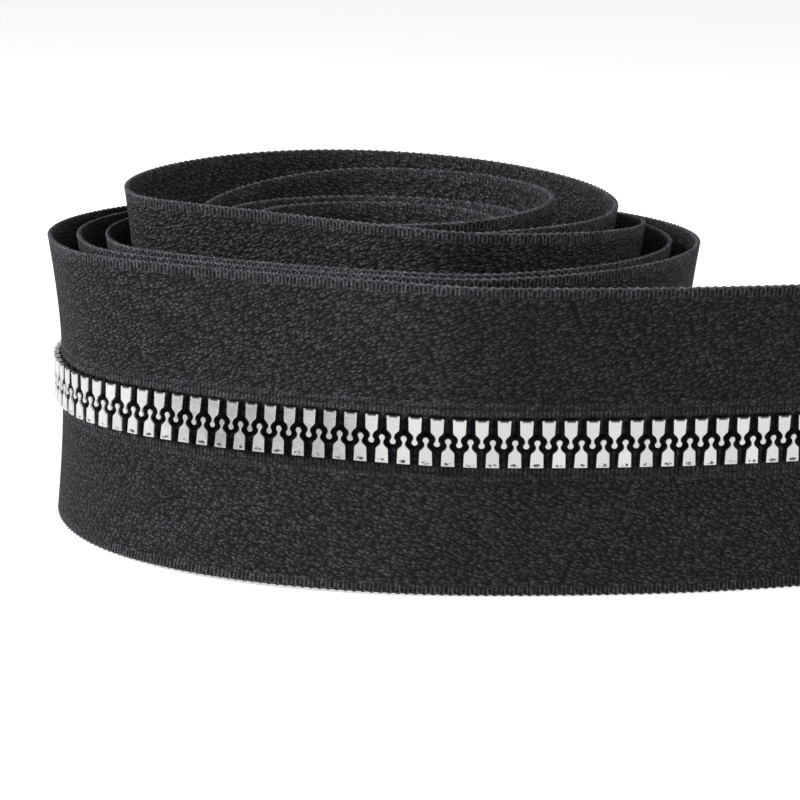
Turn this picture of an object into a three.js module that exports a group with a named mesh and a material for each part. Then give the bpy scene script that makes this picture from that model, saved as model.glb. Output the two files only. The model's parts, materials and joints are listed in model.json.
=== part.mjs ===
// A roll of closed zipper chain, sold by the length, standing on the edge of its tape.
// Two woven tapes carry one row of moulded teeth each, and the rows interlock all along.
// Most of the chain is wound into a loose spiral. The outer end runs off it as a tail of
// short links, because a zipper chain bends only between its teeth.
// Units are millimetres, with +Z up. +X points along the tail, towards the cut end.
import * as THREE from "three";

// Chain
const CHAIN_WIDTH = 34; // both tapes, edge to edge
const TAPE_THICKNESS = 0.6;
const TOOTH_PITCH = 2.35; // from one tooth to the next in the same row
const UPPER_TOOTH_OFFSET = 0.25; // in pitches, from a hinge to the first tooth of the upper row
const LOWER_TOOTH_OFFSET = 0.75;
const TOOTH_THICKNESS = 2.4; // from the front face to the back face
const TOOTH_BODY_WIDTH = 1.44; // along the chain, at the clamped end
const TOOTH_REACH = 2.62; // from the centre line to the clamped end
const SHOULDER_START = 0.82; // where the clamped body begins to taper, from the centre line
const NECK_START = 0.36;
const NECK_WIDTH = 0.46;
const HEAD_RADIUS = 0.37;
const HEAD_OVERRUN = 0.55; // how far the round head passes the centre line
const CLEARANCE = 0.3; // between a tape and its teeth

// Spiral
const OUTER_RADIUS = 39.3;
const TURNS = 7.05;
const TURN_SPACING = 3.3; // one chain's tooth thickness and some air
const DEPTH_SHARE = 0.89; // the roll is shallower from front to back than from side to side
const SLACK = 4.75; // wider gap where the inner winding has fallen away from the outer one
const SLACK_START = 3.88; // in turns from the outer end
const SLACK_TURNS = 0.39;
const BULGE = 1; // where the raised winding spreads out over the turn outside it
const BULGE_TURN = 3.25;
const BULGE_REACH = 0.2;
const RISE_STATIONS = [
  // turns from the outer end, and how far the winding has slipped upwards there
  [2.45, 0],
  [3.2, 5.5],
  [3.45, 7],
  [3.85, 3.7],
  [4.2, 2.7],
  [4.5, 6],
  [5.3, 2.8],
  [7.1, 2.3],
];

// Lean: the chain leans back on itself round one place at the front left of the roll
const LEAN_ANGLE = THREE.MathUtils.degToRad(9.4);
const LEAN_X = -13.5;
const LEAN_Y = -30.5;
const LEAN_REACH = 26.3;

// Tail
const LEAVE_TURNS = 0.032; // where it leaves the spiral
const NEAR_RADIUS = 79; // the tail straightens out in two arcs
const FAR_RADIUS = 145;
const FAR_FIXED_LENGTH = 10.2; // of the second arc, up to the first hinge
const LINK_COUNT = 8;
const TEETH_PER_LINK = 2; // in each row
const LINK_LENGTH = TEETH_PER_LINK * TOOTH_PITCH;
const LINK_GAP = 0.4; // between the tapes of two links

// Fineness
const COIL_STEPS = 230;
const HEAD_SEGMENTS = 5;
const ROUTE_DIVISIONS = 2000; // for measuring the route's length
const TURN_STEP = 0.001; // of a turn, for the spiral's direction where the tail leaves it
const ROUTE_STEP = 0.00001; // of the route, for its direction anywhere
const SPIRAL_SHARE = 0.95; // of the route's parameter, the rest being the tail

const RESIN_SILVER = { color: 0xb9bcc2, roughness: 0.3, metalness: 0.9 };
const WOVEN_BLACK = { color: 0x2a2b2e, roughness: 0.9, metalness: 0 };

const HALF_WIDTH = CHAIN_WIDTH / 2;
const TAPE_BAND = [TOOTH_REACH + CLEARANCE, HALF_WIDTH];
const TOOTH_BAND = [CLEARANCE, TOOTH_REACH];

// The upward slip of the winding, eased between the stations.
function riseAt(turns) {
  let rise = 0;
  for (let i = 1; i < RISE_STATIONS.length; i += 1) {
    const [fromTurn, fromRise] = RISE_STATIONS[i - 1];
    const [toTurn, toRise] = RISE_STATIONS[i];
    rise += (toRise - fromRise) * THREE.MathUtils.smoothstep(turns, fromTurn, toTurn);
  }
  return rise;
}

// How far the winding spreads out over the turn outside it.
function bulgeAt(turns) {
  const away = Math.min(Math.abs(turns - BULGE_TURN) / BULGE_REACH, 1);
  return BULGE * Math.cos((away * Math.PI) / 2) ** 2;
}

// A point of the spiral's lower edge. Turn 0 is at the front; the turns run clockwise and inwards.
function spiralPoint(turns) {
  const fallen = SLACK * THREE.MathUtils.smoothstep(turns, SLACK_START, SLACK_START + SLACK_TURNS);
  const radius = OUTER_RADIUS - TURN_SPACING * turns - fallen + bulgeAt(turns);
  const angle = -Math.PI / 2 - 2 * Math.PI * turns;
  return new THREE.Vector3(
    radius * Math.cos(angle),
    DEPTH_SHARE * (radius * Math.sin(angle) - fallen),
    riseAt(turns),
  );
}

const LEAVE_POINT = spiralPoint(LEAVE_TURNS);
const LEAVE_STEP = LEAVE_POINT.clone().sub(spiralPoint(LEAVE_TURNS + TURN_STEP));
const LEAVE_ANGLE = Math.atan2(-LEAVE_STEP.y, LEAVE_STEP.x);
const NEAR_LENGTH = NEAR_RADIUS * LEAVE_ANGLE;
const FIXED_TAIL = NEAR_LENGTH + FAR_FIXED_LENGTH;

// A point of the tail's lower edge, by its distance from where the tail leaves the spiral.
function tailPoint(distance) {
  const heading = Math.min(distance, NEAR_LENGTH) / NEAR_RADIUS - LEAVE_ANGLE;
  const farTurn = Math.max(distance - NEAR_LENGTH, 0) / FAR_RADIUS;
  const nearX = NEAR_RADIUS * (Math.sin(heading) + Math.sin(LEAVE_ANGLE));
  const nearY = NEAR_RADIUS * (Math.cos(LEAVE_ANGLE) - Math.cos(heading));
  return new THREE.Vector3(
    LEAVE_POINT.x + nearX + FAR_RADIUS * Math.sin(farTurn),
    LEAVE_POINT.y + nearY + FAR_RADIUS * (1 - Math.cos(farTurn)),
    0,
  );
}

// How far the chain leans into the roll at a point.
function leanAt(point) {
  const away = Math.min(Math.hypot(point.x - LEAN_X, point.y - LEAN_Y) / LEAN_REACH, 1);
  return LEAN_ANGLE * (1 - away * away) ** 2;
}

// The line of the chain at one height, from the inner end of the spiral to a point on the tail.
// Its section frames turn only with the lean, so a strip extruded along it stands on its edge.
class ChainRoute extends THREE.Curve {
  constructor(endDistance, height) {
    super();
    this.endDistance = endDistance;
    this.height = height;
    this.arcLengthDivisions = ROUTE_DIVISIONS;
  }

  edgePoint(u) {
    if (u < SPIRAL_SHARE) {
      return spiralPoint(THREE.MathUtils.lerp(TURNS, LEAVE_TURNS, u / SPIRAL_SHARE));
    }
    const along = (u - SPIRAL_SHARE) / (1 - SPIRAL_SHARE);
    return tailPoint(along * this.endDistance);
  }

  // The leaning directions up the chain and out of the roll.
  directions(u) {
    const ahead = this.edgePoint(u + ROUTE_STEP);
    const level = ahead.sub(this.edgePoint(u - ROUTE_STEP)).setZ(0).normalize();
    const lean = leanAt(this.edgePoint(u));
    return {
      up: new THREE.Vector3(0, 0, 1).applyAxisAngle(level, -lean),
      out: new THREE.Vector3(level.y, -level.x, 0).applyAxisAngle(level, -lean),
      lean,
    };
  }

  getPoint(u, target = new THREE.Vector3()) {
    const { up, lean } = this.directions(u);
    const edge = this.edgePoint(u);
    target.set(edge.x, edge.y, (TAPE_THICKNESS / 2) * Math.sin(lean));
    return target.addScaledVector(up, edge.z + this.height);
  }

  computeFrenetFrames(segments) {
    const frames = { tangents: [], normals: [], binormals: [] };
    for (let i = 0; i <= segments; i += 1) {
      const { up, out } = this.directions(this.getUtoTmapping(i / segments));
      frames.tangents.push(this.getTangentAt(i / segments));
      frames.normals.push(up);
      frames.binormals.push(out);
    }
    return frames;
  }
}

function material(look) {
  return new THREE.MeshStandardMaterial(look);
}

function named(name, geometry, look) {
  const mesh = new THREE.Mesh(geometry, material(look));
  mesh.name = name;
  return mesh;
}

// A strip that follows the spiral. Side is 1 above the centre line and -1 below it.
function coilStrip(name, band, side, thickness, endDistance, look) {
  const [inner, outer] = band;
  const height = outer - inner;
  const section = new THREE.Shape();
  section.moveTo(-height / 2, -thickness / 2);
  section.lineTo(height / 2, -thickness / 2);
  section.lineTo(height / 2, thickness / 2);
  section.lineTo(-height / 2, thickness / 2);
  section.closePath();
  const route = new ChainRoute(endDistance, HALF_WIDTH + (side * (inner + outer)) / 2);
  const geometry = new THREE.ExtrudeGeometry(section, { steps: COIL_STEPS, extrudePath: route });
  return named(name, geometry, look);
}

// The outline of one tooth: X runs along the chain and Y from the centre line to the tape.
function toothOutline() {
  const headCentre = HEAD_RADIUS - HEAD_OVERRUN;
  const neckAngle = Math.acos(NECK_WIDTH / 2 / HEAD_RADIUS);
  const outline = new THREE.Shape();
  outline.moveTo(TOOTH_BODY_WIDTH / 2, SHOULDER_START);
  outline.lineTo(TOOTH_BODY_WIDTH / 2, TOOTH_REACH);
  outline.lineTo(-TOOTH_BODY_WIDTH / 2, TOOTH_REACH);
  outline.lineTo(-TOOTH_BODY_WIDTH / 2, SHOULDER_START);
  outline.lineTo(-NECK_WIDTH / 2, NECK_START);
  outline.absarc(0, headCentre, HEAD_RADIUS, Math.PI - neckAngle, 2 * Math.PI + neckAngle, false);
  outline.lineTo(NECK_WIDTH / 2, NECK_START);
  outline.closePath();
  return outline;
}

// One tooth in its link's frame, turned upright, with its head towards the centre line.
function tooth(name, along, side) {
  const geometry = new THREE.ExtrudeGeometry(toothOutline(), {
    depth: TOOTH_THICKNESS,
    bevelEnabled: false,
    curveSegments: HEAD_SEGMENTS,
  });
  geometry.translate(0, 0, -TOOTH_THICKNESS / 2);
  const mesh = named(name, geometry, RESIN_SILVER);
  mesh.rotation.x = side * Math.PI / 2;
  mesh.position.x = along;
  return mesh;
}

function linkTape(name, side) {
  const [inner, outer] = TAPE_BAND;
  const geometry = new THREE.BoxGeometry(LINK_LENGTH - LINK_GAP, TAPE_THICKNESS, outer - inner);
  const mesh = named(name, geometry, WOVEN_BLACK);
  mesh.position.set(LINK_LENGTH / 2, 0, side * (inner + outer) / 2);
  return mesh;
}

// One link of the tail. Its origin is its hinge, half way between two teeth, one of each row.
function tailLink(index) {
  const start = tailPoint(FIXED_TAIL + index * LINK_LENGTH);
  const end = tailPoint(FIXED_TAIL + (index + 1) * LINK_LENGTH);
  const link = new THREE.Group();
  link.position.set(start.x, start.y, HALF_WIDTH);
  link.rotation.z = Math.atan2(end.y - start.y, end.x - start.x);
  const number = index + 1;
  link.add(linkTape(`upper_tape_${number}`, 1));
  link.add(linkTape(`lower_tape_${number}`, -1));
  for (let i = 0; i < TEETH_PER_LINK; i += 1) {
    const toothNumber = index * TEETH_PER_LINK + i + 1;
    link.add(tooth(`upper_tooth_${toothNumber}`, (i + UPPER_TOOTH_OFFSET) * TOOTH_PITCH, 1));
    link.add(tooth(`lower_tooth_${toothNumber}`, (i + LOWER_TOOTH_OFFSET) * TOOTH_PITCH, -1));
  }
  return link;
}

// The wound part: two tapes and two rows of joined teeth, up to the first hinge.
function coil() {
  const group = new THREE.Group();
  const tapeEnd = FIXED_TAIL - LINK_GAP / 2;
  const lastUpperTooth = FIXED_TAIL - (1 - UPPER_TOOTH_OFFSET) * TOOTH_PITCH;
  const lastLowerTooth = FIXED_TAIL - (1 - LOWER_TOOTH_OFFSET) * TOOTH_PITCH;
  const upperTeethEnd = lastUpperTooth + TOOTH_BODY_WIDTH / 2;
  const lowerTeethEnd = lastLowerTooth + HEAD_RADIUS;
  group.add(coilStrip("upper_tape_coil", TAPE_BAND, 1, TAPE_THICKNESS, tapeEnd, WOVEN_BLACK));
  group.add(coilStrip("lower_tape_coil", TAPE_BAND, -1, TAPE_THICKNESS, tapeEnd, WOVEN_BLACK));
  group.add(coilStrip("upper_teeth_coil", TOOTH_BAND, 1, TOOTH_THICKNESS, upperTeethEnd, RESIN_SILVER));
  group.add(coilStrip("lower_teeth_coil", TOOTH_BAND, -1, TOOTH_THICKNESS, lowerTeethEnd, RESIN_SILVER));
  return group;
}

// The whole roll, with its origin under the middle of its box, on the surface it stands on.
function zipperRoll() {
  const roll = new THREE.Group();
  roll.add(coil());
  for (let index = 0; index < LINK_COUNT; index += 1) {
    roll.add(tailLink(index));
  }
  roll.updateMatrixWorld(true);
  const box = new THREE.Box3().setFromObject(roll, true);
  const middle = box.getCenter(new THREE.Vector3());
  roll.position.set(-middle.x, -middle.y, -box.min.z);
  return roll;
}

export default zipperRoll();
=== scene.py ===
"""A roll of closed zipper chain on a pale floor: woven tapes, plated moulded teeth, and a tail that flexes.

The chain's route, spiral and tail, is the CAD part's own, worked out again here from the same sizes.
Sizes are in millimetres, and turn into metres where a mesh is made.
"""

import json
import math
import random

import bpy
import numpy as np
from mathutils import Matrix, Vector


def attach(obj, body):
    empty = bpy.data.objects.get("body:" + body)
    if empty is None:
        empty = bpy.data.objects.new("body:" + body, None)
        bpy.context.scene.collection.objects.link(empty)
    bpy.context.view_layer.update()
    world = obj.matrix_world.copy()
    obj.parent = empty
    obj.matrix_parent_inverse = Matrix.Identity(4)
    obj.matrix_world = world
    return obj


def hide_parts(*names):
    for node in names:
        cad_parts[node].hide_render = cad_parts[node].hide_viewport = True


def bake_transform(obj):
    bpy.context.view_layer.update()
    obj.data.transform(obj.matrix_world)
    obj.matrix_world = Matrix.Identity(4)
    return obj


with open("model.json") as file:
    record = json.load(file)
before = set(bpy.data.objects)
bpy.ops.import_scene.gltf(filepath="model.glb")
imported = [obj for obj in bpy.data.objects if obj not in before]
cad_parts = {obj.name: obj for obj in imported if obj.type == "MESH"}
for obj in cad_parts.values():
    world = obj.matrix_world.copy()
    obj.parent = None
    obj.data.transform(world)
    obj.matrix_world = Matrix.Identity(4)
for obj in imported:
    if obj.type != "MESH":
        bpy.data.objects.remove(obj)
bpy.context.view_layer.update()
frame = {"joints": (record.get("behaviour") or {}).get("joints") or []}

MM = 0.001

# The two rows, by the sign of their side of the centre line
UPPER = 1
LOWER = -1
SIDES = {"upper": UPPER, "lower": LOWER}

# The chain, as the CAD part has it
TOOTH_PITCH = 2.35  # from one tooth to the next in the same row
HALF_WIDTH = 17.0
TAPE_EDGE_HALF = 0.3  # half the CAD tape's thickness, which a leaning tape stands on
TOOTH_OFFSET = {UPPER: 0.25, LOWER: 0.75}  # in pitches, from a hinge to the first tooth of the row

# The spiral, as the CAD part has it
OUTER_RADIUS = 39.3
TURNS = 7.05
TURN_SPACING = 3.3
DEPTH_SHARE = 0.89  # the roll is shallower from front to back than from side to side
SLACK = 4.75  # wider gap where the inner winding has fallen away from the outer one
SLACK_START = 3.88  # in turns from the outer end
SLACK_TURNS = 0.39
BULGE = 1.0  # where the raised winding spreads out over the turn outside it
BULGE_TURN = 3.25
BULGE_REACH = 0.2
RISE_STATIONS = [
    # turns from the outer end, and how far the winding has slipped upwards there
    (2.45, 0),
    (3.2, 5.5),
    (3.45, 7),
    (3.85, 3.7),
    (4.2, 2.7),
    (4.5, 6),
    (5.3, 2.8),
    (7.1, 2.3),
]

# The lean, as the CAD part has it: the chain leans back on itself round one place at the front left
LEAN_ANGLE = math.radians(9.4)
LEAN_PLACE = np.array([-13.5, -30.5])
LEAN_REACH = 26.3

# The tail, as the CAD part has it
LEAVE_TURNS = 0.032  # where it leaves the spiral
NEAR_RADIUS = 79  # the tail straightens out in two arcs
FAR_RADIUS = 145
FAR_FIXED_LENGTH = 10.2  # of the second arc, up to the first hinge
LINK_COUNT = 8
TEETH_PER_LINK = 2  # in each row
LINK_LENGTH = TEETH_PER_LINK * TOOTH_PITCH
TAIL_LENGTH = LINK_COUNT * LINK_LENGTH

# The woven tape
TAPE_HALF_THICKNESS = 0.27
LOOP_LENGTH = TOOTH_PITCH / 2.5  # of the selvedge, along the tape
FLARE = {UPPER: 1.25, LOWER: 0.9}  # how far each tape's free edge curls outwards
FLARE_START = 4.0  # from the centre line
FLARE_POWER = 1.5
EDGE = 16.87  # where a tape ends, from the centre line
YARN_RADIUS = 0.13  # of the yarn that loops over the free edge
OUTER_FACE = 0.0  # the layers of the weave attribute
INNER_FACE = 1.0
EDGE_YARN = 2.0

# The plated teeth
TOOTH_MIDDLE = 1.6  # from the centre line
TOOTH_TWIST = 1.5  # degrees, the most that a tooth is out of true
TOOTH_TILT = 1.2
DETAILED_TURNS = 1.05  # of the roll, from the outer end, with finely modelled teeth

# Fineness
SPIRAL_STEPS = 9000
TAIL_STEPS = 1200
TURN_STEP = 0.001  # of a turn, for the spiral's direction where the tail leaves it
ROUTE_STEP = 0.05  # for the route's direction anywhere

rng = random.Random(7)


# ---------------------------------------------------------------- the chain's route


def smoothstep(x, low, high):
    t = np.clip((np.asarray(x, float) - low) / (high - low), 0, 1)
    return t * t * (3 - 2 * t)


def rise_at(turns):
    """How far the winding has slipped upwards."""
    rise = np.zeros_like(np.asarray(turns, float))
    for (start, low), (end, high) in zip(RISE_STATIONS, RISE_STATIONS[1:]):
        rise = rise + (high - low) * smoothstep(turns, start, end)
    return rise


def spiral_point(turns):
    """X, Y and rise of the spiral. Turn 0 is at the front, and the turns run clockwise and inwards."""
    fallen = SLACK * smoothstep(turns, SLACK_START, SLACK_START + SLACK_TURNS)
    away = np.minimum(np.abs(turns - BULGE_TURN) / BULGE_REACH, 1)
    bulge = BULGE * np.cos(away * math.pi / 2) ** 2
    radius = OUTER_RADIUS - TURN_SPACING * turns - fallen + bulge
    angle = -math.pi / 2 - 2 * math.pi * turns
    depth = DEPTH_SHARE * (radius * np.sin(angle) - fallen)
    return np.stack([radius * np.cos(angle), depth, rise_at(turns)], -1)


LEAVE_POINT = spiral_point(np.array(LEAVE_TURNS))
LEAVE_STEP = LEAVE_POINT - spiral_point(np.array(LEAVE_TURNS + TURN_STEP))
LEAVE_ANGLE = math.atan2(-LEAVE_STEP[1], LEAVE_STEP[0])
NEAR_LENGTH = NEAR_RADIUS * LEAVE_ANGLE
FIXED_TAIL = NEAR_LENGTH + FAR_FIXED_LENGTH


def tail_point(distance):
    """X, Y and rise of the tail, by the distance from where it leaves the spiral."""
    heading = np.minimum(distance, NEAR_LENGTH) / NEAR_RADIUS - LEAVE_ANGLE
    far_turn = np.maximum(distance - NEAR_LENGTH, 0) / FAR_RADIUS
    near_x = NEAR_RADIUS * (np.sin(heading) + math.sin(LEAVE_ANGLE))
    near_y = NEAR_RADIUS * (math.cos(LEAVE_ANGLE) - np.cos(heading))
    x = LEAVE_POINT[0] + near_x + FAR_RADIUS * np.sin(far_turn)
    y = LEAVE_POINT[1] + near_y + FAR_RADIUS * (1 - np.cos(far_turn))
    return np.stack([x, y, np.zeros_like(x)], -1)


class Route:
    """The chain's lower edge by its length, which is 0 at the first hinge and negative towards the coil."""

    def __init__(self):
        turns = np.linspace(TURNS, LEAVE_TURNS, SPIRAL_STEPS, endpoint=False)
        along = np.linspace(0, FIXED_TAIL + TAIL_LENGTH, TAIL_STEPS)
        points = np.concatenate([spiral_point(turns), tail_point(along)])
        steps = np.linalg.norm(np.diff(points[:, :2], axis=0), axis=1)
        length = np.concatenate([[0], np.cumsum(steps)])
        self.turns = np.concatenate([turns, np.zeros_like(along)])
        self.length = length - length[-1] + TAIL_LENGTH
        self.start = self.length[0]
        away = np.linalg.norm(points[:, :2] - LEAN_PLACE, axis=1) / LEAN_REACH
        self.lean = LEAN_ANGLE * (1 - np.minimum(away, 1) ** 2) ** 2
        self.rise = points[:, 2]
        hinge = np.array(frame["joints"][0]["pos_m"][:2]) / MM
        first = [np.interp(0, self.length, points[:, i]) for i in (0, 1)]
        self.plan = points[:, :2] + hinge - first

    def plan_at(self, s):
        return np.stack([np.interp(s, self.length, self.plan[:, i]) for i in (0, 1)], -1)

    def place(self, s, height, out):
        """Points at a height above the lower edge, and a distance out of the spiral."""
        s = np.asarray(s, float)
        level = self.plan_at(s + ROUTE_STEP) - self.plan_at(s - ROUTE_STEP)
        level /= np.linalg.norm(level, axis=-1, keepdims=True)
        lean = np.interp(s, self.length, self.lean)
        raised = height + np.interp(s, self.length, self.rise)
        outward = out * np.cos(lean) - raised * np.sin(lean)
        z = raised * np.cos(lean) + (out + TAPE_EDGE_HALF) * np.sin(lean)
        level_out = np.stack([level[..., 1], -level[..., 0]], -1)
        flat = self.plan_at(s) + level_out * outward[..., None]
        return np.concatenate([flat, z[..., None]], -1)

    def length_at(self, turns):
        """The chain length at a number of turns from the outer end."""
        return float(np.interp(-turns, -self.turns, self.length))


route = Route()


def chain_place(s, v, w, side):
    """Points of the chain: s along it, v from the centre line to a tape's edge, w out of the spiral.

    The tapes curl outwards towards their free edges, and their weave is never quite even.
    """
    s, v, w = np.broadcast_arrays(np.asarray(s, float), v, w)
    reach = np.clip((v - FLARE_START) / (HALF_WIDTH - FLARE_START), 0, 1) ** FLARE_POWER
    unevenness = 0.1 * np.sin(s * 0.071 + side) + 0.06 * np.sin(s * 0.173 + 2 * side)
    return route.place(s, HALF_WIDTH + side * v, w + (FLARE[side] + unevenness) * reach)


# ---------------------------------------------------------------- meshes


def add_mesh(name, points_mm, faces, materials, face_materials=None, attributes=(), smooth=True):
    """A mesh object in metres. attributes are (name, kind, values on the points). Caps are never smooth."""
    mesh = bpy.data.meshes.new(name)
    mesh.from_pydata((np.asarray(points_mm) * MM).tolist(), [], faces)
    for material in materials:
        mesh.materials.append(material)
    if face_materials is not None:
        mesh.polygons.foreach_set("material_index", face_materials)
    for label, kind, values in attributes:
        attribute = mesh.attributes.new(label, kind, "POINT")
        field = "vector" if kind == "FLOAT_VECTOR" else "value"
        attribute.data.foreach_set(field, np.asarray(values, np.float32).ravel())
    mesh.polygons.foreach_set("use_smooth", [smooth and len(face) == 4 for face in faces])
    mesh.update()
    obj = bpy.data.objects.new(name, mesh)
    bpy.context.scene.collection.objects.link(obj)
    return obj


def ring_faces(rings, size, base=0):
    """Quads between closed rings that follow each other, with a cap at both ends."""
    faces = []
    for i in range(rings - 1):
        a = base + i * size
        b = a + size
        for j in range(size):
            k = (j + 1) % size
            faces.append((a + j, b + j, b + k, a + k))
    last = base + (rings - 1) * size
    faces.append(tuple(range(base, base + size)))
    faces.append(tuple(reversed(range(last, last + size))))
    return faces


def turned(faces):
    """The same faces with their fronts and backs changed over."""
    return [tuple(reversed(face)) for face in faces]


# ---------------------------------------------------------------- materials


class Graph:
    """Short names for building a material's nodes."""

    def __init__(self, name):
        self.material = bpy.data.materials.new(name)
        self.material.use_nodes = True
        self.tree = self.material.node_tree
        self.shader = self.tree.nodes["Principled BSDF"]

    def node(self, kind, inputs=(), **settings):
        """A node itself, with its inputs fed and its settings made."""
        made = self.tree.nodes.new(kind)
        for key, value in settings.items():
            setattr(made, key, value)
        for key, value in dict(inputs).items():
            self.feed(made.inputs[key], value)
        return made

    def feed(self, socket, value):
        if isinstance(value, bpy.types.NodeSocket):
            self.tree.links.new(value, socket)
        else:
            socket.default_value = value

    def math(self, operation, *values):
        made = self.tree.nodes.new("ShaderNodeMath")
        made.operation = operation
        for socket, value in zip(made.inputs, values):
            self.feed(socket, value)
        return made.outputs[0]

    def total(self, *parts):
        """The sum of (value, weight) pairs."""
        result = 0.0
        for value, weight in parts:
            result = self.math("MULTIPLY_ADD", value, weight, result)
        return result

    def product(self, first, *others):
        for value in others:
            first = self.math("MULTIPLY", first, value)
        return first

    def combine(self, x, y, z=0.0):
        return self.node("ShaderNodeCombineXYZ", {0: x, 1: y, 2: z}).outputs[0]

    def attribute(self, name):
        """The three numbers of a vector attribute."""
        made = self.node("ShaderNodeAttribute", attribute_name=name)
        return self.node("ShaderNodeSeparateXYZ", {0: made.outputs["Vector"]}).outputs

    def noise(self, place, scale, detail=2.0):
        inputs = {"Vector": place, "Scale": scale, "Detail": detail}
        return self.node("ShaderNodeTexNoise", inputs).outputs["Fac"]

    def difference(self, value, middle):
        """How far value is from middle, either way."""
        return self.math("ABSOLUTE", self.math("SUBTRACT", value, middle))

    def squares(self, x, y):
        return self.total((self.math("MULTIPLY", x, x), 1.0), (self.math("MULTIPLY", y, y), 1.0))

    def smoothstep(self, value, low, high):
        made = self.node("ShaderNodeMapRange", {"Value": value}, interpolation_type="SMOOTHSTEP")
        made.inputs["From Min"].default_value = low
        made.inputs["From Max"].default_value = high
        return made.outputs["Result"]

    def mix(self, factor, a, b):
        """a where factor is 0 and b where it is 1, for numbers."""
        made = self.node("ShaderNodeMix", {"Factor": factor})
        self.feed(made.inputs[2], a)
        self.feed(made.inputs[3], b)
        return made.outputs[0]

    def ramp(self, value, low, high):
        """A grey or colour between low and high, each (red, green, blue)."""
        made = self.node("ShaderNodeMix", {"Factor": value}, data_type="RGBA")
        made.inputs[6].default_value = (*low, 1)
        made.inputs[7].default_value = (*high, 1)
        return made.outputs[2]

    def set(self, **values):
        for key, value in values.items():
            self.feed(self.shader.inputs[key.replace("_", " ")], value)

    def bump(self, height, strength, distance_mm):
        made = self.node("ShaderNodeBump", {"Height": height, "Strength": strength})
        made.inputs["Distance"].default_value = distance_mm * MM
        self.feed(self.shader.inputs["Normal"], made.outputs[0])


def ridges(graph, value, period):
    """Round-topped ridges, 0 in the valleys and 1 on the crests."""
    turns = graph.math("MULTIPLY", value, math.pi / period)
    return graph.math("ABSOLUTE", graph.math("SINE", turns))


def twill_floats(graph, along, across, layer):
    """The short yarn floats of the cloth, in uneven slanting rows: their height, and each one's tone."""
    slant = math.radians(24)
    float_length = 0.72
    row_spacing = 0.38
    next_layer = 31.0  # floats from one layer's pattern to the next one's
    unevenness = 1.3  # of a float
    lengthways = graph.total(
        (along, math.cos(slant) / float_length),
        (across, math.sin(slant) / float_length),
        (layer, next_layer),
    )
    sideways = graph.total(
        (along, -math.sin(slant) / row_spacing),
        (across, math.cos(slant) / row_spacing),
    )
    place = graph.combine(lengthways, sideways)
    wander = graph.node("ShaderNodeTexNoise", {"Vector": place, "Scale": 0.8, "Detail": 2.0})
    drift = graph.node(
        "ShaderNodeVectorMath",
        {0: wander.outputs["Color"], 1: (-0.5, -0.5, -0.5)},
        operation="ADD",
    )
    bent = graph.node(
        "ShaderNodeVectorMath",
        {0: drift.outputs[0], 1: (unevenness, unevenness, 0.0), 2: place},
        operation="MULTIPLY_ADD",
    )
    inputs = {"Vector": bent.outputs[0], "Scale": 1.0, "Randomness": 0.85}
    cells = graph.node("ShaderNodeTexVoronoi", inputs, voronoi_dimensions="2D")
    borders = graph.node(
        "ShaderNodeTexVoronoi", inputs, voronoi_dimensions="2D", feature="DISTANCE_TO_EDGE"
    )
    tone = graph.node("ShaderNodeSeparateXYZ", {0: cells.outputs["Color"]}).outputs[0]
    crown = graph.smoothstep(cells.outputs["Distance"], 0.68, 0.05)
    rough = graph.smoothstep(graph.noise(place, 2.0, 3.0), 0.3, 0.7)
    edge = graph.smoothstep(borders.outputs["Distance"], -0.06, 0.14)
    return graph.product(crown, edge, graph.math("MULTIPLY_ADD", rough, 0.9, 0.35)), tone


def stitch_dashes(graph, along, across):
    """Rows of longer floats that run with the tape, one to each tooth."""
    row_spacing = 1.66
    shift = 0.37  # of a pitch, from one row to the next
    row = graph.math("DIVIDE", across, row_spacing)
    in_row = graph.difference(graph.math("FRACT", row), 0.5)
    step = graph.math("MULTIPLY", graph.math("FLOOR", row), shift)
    dash = graph.math("FRACT", graph.math("ADD", graph.math("DIVIDE", along, TOOTH_PITCH), step))
    in_dash = graph.difference(dash, 0.5)
    return graph.product(graph.smoothstep(in_row, 0.08, 0.03), graph.smoothstep(in_dash, 0.22, 0.14))


def edge_loops(graph, along, across):
    """The selvedge's row of arched loops, with their legs running down into the cloth."""
    radius = 0.27
    thick = 0.19  # from the middle of the yarn to where it meets the cloth
    thin = 0.04
    top = EDGE - 0.42  # the arches' centres
    loop = graph.math("FRACT", graph.math("DIVIDE", along, LOOP_LENGTH))
    x = graph.math("MULTIPLY", graph.math("SUBTRACT", loop, 0.5), LOOP_LENGTH)
    y = graph.math("MAXIMUM", graph.math("SUBTRACT", across, top), 0.0)
    from_centre = graph.math("SQRT", graph.squares(x, y))
    return graph.smoothstep(graph.difference(from_centre, radius), thick, thin)


def is_layer(graph, layer, wanted):
    """1 on the wanted layer and on those after it, and 0 on those before."""
    return graph.smoothstep(layer, wanted - 0.6, wanted - 0.4)


def cloth_relief(graph, along, across, layer):
    """The cloth's height, 0 to 1, and a tone for each of its floats.

    The floats turn into ribs beside the teeth and into loops along the free edge.
    """
    floats, tone = twill_floats(graph, along, across, layer)
    ribs = graph.product(ridges(graph, along, LOOP_LENGTH / 2), ridges(graph, across, 0.9))
    near_teeth = graph.product(graph.smoothstep(across, 4.6, 3.4), 0.6)
    rim = graph.smoothstep(across, EDGE - 0.2, EDGE - 0.05)
    loops = graph.math("MAXIMUM", edge_loops(graph, along, across), rim)
    loop_share = graph.mix(is_layer(graph, layer, INNER_FACE), 0.72, 0.25)
    near_edge = graph.product(graph.smoothstep(across, 15.5, 16.3), loop_share)
    cloth = graph.mix(near_edge, graph.mix(near_teeth, floats, ribs), loops)
    yarn_height = 0.75
    return graph.mix(is_layer(graph, layer, EDGE_YARN), cloth, yarn_height), tone


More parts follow.
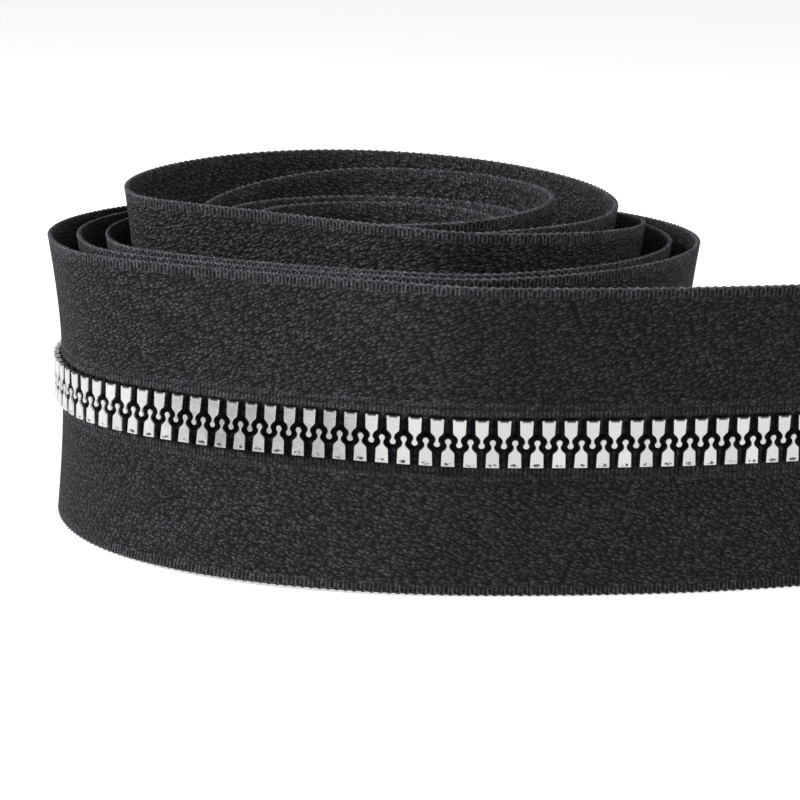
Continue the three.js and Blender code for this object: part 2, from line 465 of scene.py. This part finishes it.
def cloth_shade(graph, place, across, relief, tone, dashes, fibres):
    """How light the cloth is, 0 to 1: painted glints on the brightest floats and painted shade in the pits
    between them, with specks, and painted shade between the teeth.
    """
    specks = graph.smoothstep(graph.noise(place, 2.4, 1.0), 0.58, 0.74)
    patches = graph.noise(place, 0.13, 3.0)
    # Painted glint: the brightest floats are made lighter still, on top of their own random tone.
    float_tone_and_glint = graph.product(tone, tone)
    # Painted shade: the colour follows the float height, so the pits between the floats are darker.
    painted_float_light = graph.product(relief, graph.math("MULTIPLY_ADD", float_tone_and_glint, 1.2, 0.35))
    shade = graph.total(
        (painted_float_light, 0.75),
        (graph.product(fibres, relief), 0.5),
        (patches, 0.10),
        (graph.product(specks, relief), 0.6),
        (dashes, 0.4),
    )
    # Painted shade on the tape between the teeth, where the teeth shade it.
    painted_shade_between_teeth = graph.smoothstep(across, 2.9, 2.2)
    return graph.product(shade, graph.math("MULTIPLY_ADD", painted_shade_between_teeth, -0.35, 1.0))


def woven_tape():
    """Black polyester weave, with clear patches of longer stitches and fine fibres.

    The weave attribute is the length along the tape, the distance from the centre line, and the layer.
    """
    graph = Graph("woven_tape")
    along, across, layer = graph.attribute("weave")
    next_layer = 40.0  # millimetres from one layer's pattern to the next one's
    place = graph.combine(along, across, graph.math("MULTIPLY", layer, next_layer))
    relief, tone = cloth_relief(graph, along, across, layer)
    clear = graph.smoothstep(graph.noise(place, 0.11), 0.42, 0.60)
    dashes = graph.product(stitch_dashes(graph, along, across), clear)
    drawn_out = graph.combine(graph.math("MULTIPLY", along, 2.6), graph.math("MULTIPLY", across, 6.0))
    fibres = graph.noise(drawn_out, 1.0)
    graph.bump(graph.total((relief, 1.0), (dashes, 0.3), (fibres, 0.9)), strength=1.0, distance_mm=0.4)
    shade = cloth_shade(graph, place, across, relief, tone, dashes, fibres)
    graph.set(
        Base_Color=graph.ramp(shade, (0.0044, 0.0047, 0.0051), (0.0495, 0.052, 0.0565)),
        Roughness=graph.mix(fibres, 0.75, 0.5),
        Specular_IOR_Level=0.02,
    )
    return graph.material


def black_resin():
    """The moulded body of the teeth, black and satin, with a fine moulded grain."""
    graph = Graph("black_resin")
    place = graph.node("ShaderNodeTexCoord").outputs["Object"]
    grain = graph.noise(place, 5200.0)
    graph.bump(grain, strength=0.3, distance_mm=0.02)
    graph.set(
        Base_Color=graph.ramp(grain, (0.001, 0.001, 0.0012), (0.004, 0.004, 0.005)),
        Roughness=graph.mix(grain, 0.35, 0.5),
        Specular_IOR_Level=0.06,
    )
    return graph.material


def dents_with_painted_shade(graph, across, along_tooth, row, patches):
    """Where the plating is painted dark as the shade in its hollows, 0 to 1: a notch at the end of each
    upper tooth, and a patchy dent in each lower one.
    """
    dent_place = 2.28
    dent_half_length = 0.20
    dent_half_width = 0.52
    notch = graph.product(
        graph.smoothstep(along_tooth, 2.30, 2.48),
        graph.smoothstep(graph.math("ABSOLUTE", across), 0.56, 0.38),
    )
    x = graph.math("DIVIDE", across, dent_half_width)
    y = graph.math("DIVIDE", graph.math("SUBTRACT", along_tooth, dent_place), dent_half_length)
    hollow = graph.smoothstep(graph.squares(x, y), 1.1, 0.3)
    dent = graph.product(hollow, graph.smoothstep(patches, 0.40, 0.56))
    is_upper = graph.smoothstep(row, -0.5, 0.5)
    return graph.mix(is_upper, dent, notch)


def silver_plating():
    """Bright metal plating with soft waves, light wear, a slightly different tone on each tooth, and
    painted shade in its notches and dents.

    The tooth_face attribute is the place on the tooth, across it and along it, and the row's side.
    """
    graph = Graph("silver_plating")
    across, along_tooth, row = graph.attribute("tooth_face")
    tone = graph.node("ShaderNodeAttribute", attribute_name="tooth_tone").outputs["Fac"]
    place = graph.node("ShaderNodeTexCoord").outputs["Object"]
    waves = graph.noise(place, 900.0, 1.0)
    wear = graph.noise(place, 4200.0, 3.0)
    patches = graph.noise(place, 2600.0, 1.0)
    dents_and_shade = dents_with_painted_shade(graph, across, along_tooth, row, patches)
    graph.bump(graph.total((waves, 0.8), (wear, 0.12), (dents_and_shade, -0.25)), strength=0.5, distance_mm=0.06)
    shade = graph.total((tone, 0.5), (wear, 0.5))
    clean = graph.ramp(shade, (0.45, 0.45, 0.45), (0.62, 0.62, 0.61))
    # Painted shade: the notches and dents are coloured this dark grey, as the shade in them.
    dark = (0.07, 0.07, 0.07, 1)
    plating_with_dent_shade = graph.node("ShaderNodeMix", {"Factor": dents_and_shade, 6: clean, 7: dark}, data_type="RGBA")
    graph.set(Base_Color=plating_with_dent_shade.outputs[2], Roughness=graph.mix(wear, 0.16, 0.36), Metallic=1.0)
    return graph.material


TAPE = woven_tape()
RESIN = black_resin()
SILVER = silver_plating()


# ---------------------------------------------------------------- tapes


def tape_profile():
    """Half of a tape's section, from the bead inside the teeth to the selvedge: (v, half thickness)."""
    bead = [(0.66, 0.06), (0.76, 0.3), (1.1, 0.47), (1.5, 0.5), (1.95, 0.43), (2.25, 0.3)]
    web = [(v, TAPE_HALF_THICKNESS) for v in np.linspace(2.7, EDGE - 0.3, 13)]
    edge = [(EDGE - 0.08, 0.19), (EDGE, 0.06)]
    return bead + web + edge


def edge_yarn(start, end):
    """The yarn that loops over the tape's free edge: s, v and w along it."""
    steps_per_loop = 6
    middle = EDGE - 0.12
    reach = 0.11  # each way from the middle
    lift = 0.2  # to each face of the tape
    count = max(3, round((end - start) / LOOP_LENGTH * steps_per_loop) + 1)
    s = np.linspace(start, end, count)
    turn = 2 * math.pi * s / LOOP_LENGTH
    return s, middle + reach * np.cos(turn), lift * np.sin(turn)


def tube_points(path, radius, sides):
    """Rings of points round a path, with the level direction as one axis of each ring."""
    along = np.gradient(path, axis=0)
    along /= np.linalg.norm(along, axis=1, keepdims=True)
    across = np.cross(along, [0.0, 0.0, 1.0])
    across /= np.linalg.norm(across, axis=1, keepdims=True) + 1e-9
    above = np.cross(across, along)
    angle = np.linspace(0, 2 * math.pi, sides, endpoint=False)[None, :, None]
    rings = path[:, None] + radius * (np.cos(angle) * across[:, None] + np.sin(angle) * above[:, None])
    return rings.reshape(-1, 3)


def make_tape(name, side, start, end):
    """A length of woven tape from start to end, in chain lengths: a closed strip and its edge yarn."""
    half = tape_profile()
    loop = half + [(v, -t) for v, t in reversed(half)]
    v, w = (np.array([point[i] for point in loop]) for i in (0, 1))
    count = max(2, round((end - start) / LOOP_LENGTH) + 1)
    just_inside = 0.01  # a ring here keeps the cap out of the smooth shading
    rings = np.concatenate([[start], np.linspace(start + just_inside, end - just_inside, count), [end]])
    s = np.repeat(rings, len(loop))
    v, w = np.tile(v, len(rings)), np.tile(w, len(rings))
    strip = chain_place(s, v, w, side)
    faces = ring_faces(len(rings), len(loop))
    sides = 5
    yarn_s, yarn_v, yarn_w = edge_yarn(start, end)
    yarn = tube_points(chain_place(yarn_s, yarn_v, yarn_w, side), YARN_RADIUS, sides)
    yarn_faces = ring_faces(len(yarn_s), sides, base=len(strip))
    weave = np.stack([s, v, np.where(w > 0, OUTER_FACE, INNER_FACE)], -1)
    yarn_weave = np.stack([yarn_s, yarn_v, np.full_like(yarn_s, EDGE_YARN)], -1).repeat(sides, 0)
    return add_mesh(
        name,
        np.concatenate([strip, yarn]),
        (turned(faces) if side > 0 else faces) + yarn_faces,
        [TAPE],
        attributes=[("weave", "FLOAT_VECTOR", np.concatenate([weave, yarn_weave]))],
    )


# ---------------------------------------------------------------- teeth


def face_outline(simple=False):
    """The plated face of a tooth: u along the chain, v towards the tape.

    A wide body with a shoulder, a narrow neck and a round head. The simple one leaves out fine corners.
    """
    right = [
        (0.66, 2.62),
        (0.74, 2.54),
        (0.69, 1.06),
        (0.60, 0.90),
        (0.36, 0.70),
        (0.22, 0.52),
        (0.165, 0.34),
        (0.20, 0.16),
    ]
    if simple:
        right = [right[i] for i in (0, 1, 2, 4, 6)]
    head_radius = 0.36
    head_centre = -0.18
    for angle in np.radians(np.linspace(38, -76, 3 if simple else 6)):
        right.append((head_radius * math.cos(angle), head_centre + head_radius * math.sin(angle)))
    return np.array(right + [(-u, v) for u, v in reversed(right)])


def drawn_in(outline, inset):
    """The same outline, moved inwards by inset at every point."""
    ahead = np.roll(outline, -1, 0) - outline
    behind = outline - np.roll(outline, 1, 0)
    tangent = ahead / np.linalg.norm(ahead, axis=1, keepdims=True)
    tangent += behind / np.linalg.norm(behind, axis=1, keepdims=True)
    tangent /= np.linalg.norm(tangent, axis=1, keepdims=True)
    return outline + inset * np.stack([tangent[:, 1], -tangent[:, 0]], -1)


def tooth_parts(simple=False):
    """Points and faces of one tooth in u, v, w, and which faces are plated.

    A tooth is a plated cap in front and one behind, a resin core that stands out a little round them,
    and a web that fills the space behind the interlocked heads.
    """
    core_margin = 0.12
    core_half_height = 0.56
    web_half_height = 0.46
    points, faces, plated = [], [], []

    def add_stack(outlines, levels, is_plated):
        base = len(points)
        for outline, level in zip(outlines, levels):
            points.extend((u, v, level) for u, v in outline)
        new = ring_faces(len(outlines), len(outlines[0]), base)
        faces.extend(new if levels[0] > levels[-1] else turned(new))
        plated.extend([is_plated] * len(new))

    outline = face_outline(simple)
    insets = [0.0, 0.0, 0.09] if simple else [0.0, 0.0, 0.03, 0.09]
    levels = [0.50, 1.08, 1.2] if simple else [0.50, 1.05, 1.15, 1.2]
    skins = [drawn_in(outline, inset) for inset in insets]
    add_stack(skins, levels, True)
    add_stack(skins, [-level for level in levels], True)
    core = drawn_in(outline, -core_margin)
    add_stack([core, core], [-core_half_height, core_half_height], False)
    right = [(0.95, 1.15), (0.95, 0.62), (0.60, -0.1), (0.3, -0.46)]
    web = np.array(right + [(-u, v) for u, v in reversed(right)])
    add_stack([web, web], [-web_half_height, web_half_height], False)
    return np.array(points), faces, plated


TOOTH = tooth_parts()
SIMPLE_TOOTH = tooth_parts(simple=True)


def make_teeth(name, side, places, simple=False):
    """Teeth of one row at the given chain lengths, each a little out of true and with its own tone."""
    points, faces, plated = SIMPLE_TOOTH if simple else TOOTH
    size = len(points)
    u, v, w = points.T
    all_points, all_faces, tones = [], [], []
    for number, s in enumerate(places):
        twist = math.radians(rng.uniform(-TOOTH_TWIST, TOOTH_TWIST))
        tilt = math.radians(rng.uniform(-TOOTH_TILT, TOOTH_TILT))
        jittered = w + u * math.sin(twist) + (v - TOOTH_MIDDLE) * math.sin(tilt)
        all_points.append(chain_place(s + u, v, jittered, side))
        shifted = [tuple(number * size + i for i in face) for face in faces]
        all_faces.extend(shifted if side > 0 else turned(shifted))
        tones.append(np.full(size, rng.random()))
    face_places = np.stack([u, v, np.full(size, side)], -1)
    return add_mesh(
        name,
        np.concatenate(all_points),
        all_faces,
        [SILVER, RESIN],
        [0 if is_plated else 1 for is_plated in plated] * len(places),
        [
            ("tooth_tone", "FLOAT", np.concatenate(tones)),
            ("tooth_face", "FLOAT_VECTOR", np.tile(face_places, (len(places), 1))),
        ],
        smooth=False,
    )


# ---------------------------------------------------------------- the object


def tooth_places(side, start, end):
    """Chain lengths of a row's teeth between start and end. The two rows are half a pitch apart."""
    offset = TOOTH_OFFSET[side]
    first = math.ceil(start / TOOTH_PITCH - offset)
    last = math.floor(end / TOOTH_PITCH - offset)
    return [(i + offset) * TOOTH_PITCH for i in range(first, last + 1)]


def belongs(node):
    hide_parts(node)


def build_coil(row, side):
    """The wound part of one row, and its tape."""
    tape = make_tape(f"{row}_tape", side, route.start, -LINK_LENGTH / 2)
    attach(tape, "coil")
    belongs(f"{row}_tape_coil")
    turn_end = route.length_at(DETAILED_TURNS)
    half_tooth = 0.8  # so that no tooth reaches past the tape's inner end
    hinge_margin = 0.2 * TOOTH_PITCH  # so that the first link's teeth aren't taken
    gap = 0.01  # so that no tooth is in both
    outer_places = tooth_places(side, turn_end, -hinge_margin)
    inner_places = tooth_places(side, route.start + half_tooth, turn_end - gap)
    outer = make_teeth(f"{row}_teeth_outer_turn", side, outer_places)
    inner = make_teeth(f"{row}_teeth_inner_turns", side, inner_places, simple=True)
    for teeth in (outer, inner):
        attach(teeth, "coil")
        belongs(f"{row}_teeth_coil")
    return tape


def build_bend(row, side, number):
    """The tape round one hinge, from the middle of the link before it to the middle of the one after."""
    hinge = (number - 1) * LINK_LENGTH
    reach = LINK_LENGTH / 2
    end = hinge + (LINK_LENGTH if number == LINK_COUNT else reach)
    tape = make_tape(f"{row}_tape_bend_{number}", side, hinge - reach, end)
    first, last = (route.place(hinge + x, HALF_WIDTH, 0) * MM for x in (-reach, reach))
    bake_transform(tape)
    belongs(f"{row}_tape_{number}")
    return tape


def build_link_teeth(row, side, number):
    """The teeth of one row on one link, each a piece of its own."""
    hinge = (number - 1) * LINK_LENGTH
    for i, s in enumerate(tooth_places(side, hinge, hinge + LINK_LENGTH)):
        tooth_number = (number - 1) * TEETH_PER_LINK + i + 1
        tooth = make_teeth(f"{row}_tooth_{tooth_number}_plated", side, [s])
        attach(tooth, f"link_{number}")
        belongs(f"{row}_tooth_{tooth_number}")


def build_row(row, side):
    """One tape with its teeth, from the inner end of the roll to the cut end of the tail."""
    tape = build_coil(row, side)
    for number in range(1, LINK_COUNT + 1):
        build_bend(row, side, number)
        build_link_teeth(row, side, number)


# ---------------------------------------------------------------- stage, light and camera


def build_stage():
    """A pale floor that glows a little, so that it's white without lighting the teeth from below."""
    size = 3.0  # metres each way
    below = 0.00005  # metres, so that the tapes' edges are clear of it
    mesh = bpy.data.meshes.new("floor")
    corners = [(-size, -size, 0), (size, -size, 0), (size, size, 0), (-size, size, 0)]
    mesh.from_pydata(corners, [], [(0, 1, 2, 3)])
    floor = bpy.data.objects.new("floor", mesh)
    floor.location.z = -below
    bpy.context.scene.collection.objects.link(floor)
    graph = Graph("pale_floor")
    graph.set(
        Base_Color=(0.25, 0.25, 0.25, 1),
        Roughness=0.9,
        Emission_Color=(1, 1, 1, 1),
        Emission_Strength=0.65,
    )
    mesh.materials.append(graph.material)


def add_softbox(name, place, target, size, power):
    """A soft rectangular light, in metres and watts, that shows in no reflection."""
    light = bpy.data.lights.new(name, "AREA")
    light.shape = "RECTANGLE"
    light.size, light.size_y = size
    light.energy = power
    obj = bpy.data.objects.new(name, light)
    obj.location = place
    aim = Vector(target) - Vector(place)
    obj.rotation_euler = aim.to_track_quat("-Z", "Y").to_euler()
    obj.visible_glossy = False
    bpy.context.scene.collection.objects.link(obj)


def build_light():
    """A white room, dimmer behind the camera, with a softbox at the left and a weaker one at the right."""
    world = bpy.data.worlds.new("white_studio")
    bpy.context.scene.world = world
    world.use_nodes = True
    tree = world.node_tree
    direction = tree.nodes.new("ShaderNodeTexCoord").outputs["Generated"]
    facing = tree.nodes.new("ShaderNodeSeparateXYZ")
    tree.links.new(direction, facing.inputs[0])
    fade = tree.nodes.new("ShaderNodeMapRange")
    fade.interpolation_type = "SMOOTHSTEP"
    tree.links.new(facing.outputs["Y"], fade.inputs["Value"])
    fade.inputs["From Min"].default_value, fade.inputs["To Min"].default_value = (-0.6, 0.55)
    fade.inputs["From Max"].default_value, fade.inputs["To Max"].default_value = (0.3, 0.95)
    background = tree.nodes["Background"]
    background.inputs["Color"].default_value = (1, 1, 1, 1)
    tree.links.new(fade.outputs["Result"], background.inputs["Strength"])
    middle = (0, 0, 0.02)
    add_softbox("key_left", (-0.6, -0.12, 0.38), middle, (0.25, 0.25), 17.0)
    add_softbox("fill_right", (0.45, -0.4, 0.35), middle, (0.4, 0.3), 5.5)
    bpy.context.scene.view_settings.view_transform = "Standard"


def build_camera():
    """The camera stands low in front of the roll and looks slightly down on it."""
    place = (-0.00515, -0.24656, 0.07182)  # metres
    pitch = math.radians(13.37)
    roll = math.radians(0.94)
    forward = Vector((0, math.cos(pitch), -math.sin(pitch)))
    level = Vector((1, 0, 0))
    above = level.cross(forward)
    right = level * math.cos(roll) + above * math.sin(roll)
    upward = above * math.cos(roll) - level * math.sin(roll)
    camera = bpy.data.cameras.new("camera")
    camera.sensor_width = 36
    camera.lens = 92.65
    camera.clip_start = 0.01
    obj = bpy.data.objects.new("camera", camera)
    turn = Matrix((right, upward, -forward)).transposed().to_4x4()
    obj.matrix_world = Matrix.Translation(place) @ turn
    bpy.context.scene.collection.objects.link(obj)
    bpy.context.scene.camera = obj


build_camera()
build_stage()
build_light()
for row_name, row_side in SIDES.items():
    build_row(row_name, row_side)
